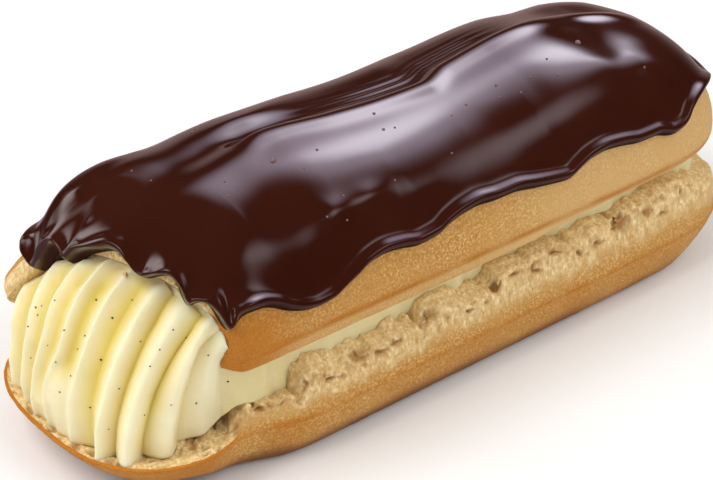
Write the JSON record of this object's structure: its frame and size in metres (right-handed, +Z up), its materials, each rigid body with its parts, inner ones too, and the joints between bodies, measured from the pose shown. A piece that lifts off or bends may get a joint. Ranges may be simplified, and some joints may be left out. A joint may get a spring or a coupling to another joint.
{
  "type": "chocolate eclair",
  "caption": "Filled choux bun, split lengthways and opened at one end where ridged piped vanilla cream bulges out, under a poured glossy chocolate glaze with a scalloped, dripping edge.",
  "frame": {"origin": "centre of the bounding box in plan, on the flat underside of the bottom bun", "axes": "+X along the length, away from the opened end; the opened end with the piped cream faces -X; +Z up"},
  "size_m": [0.142, 0.051, 0.0466],
  "materials": {
    "bottom_bun": "baked choux crust, sandy golden brown, fine matte grain",
    "top_bun": "baked choux crust, sandy golden brown, fine matte grain",
    "cream_filling": "smooth pale yellow pastry cream with vanilla specks, soft satin",
    "chocolate_glaze": "poured dark chocolate glaze, mirror gloss"
  },
  "bodies": {
    "root": {"bottom_bun": "bottom_bun", "top_bun": "top_bun", "cream_filling": "cream_filling", "chocolate_glaze": "chocolate_glaze"}
  },
  "joints": []
}
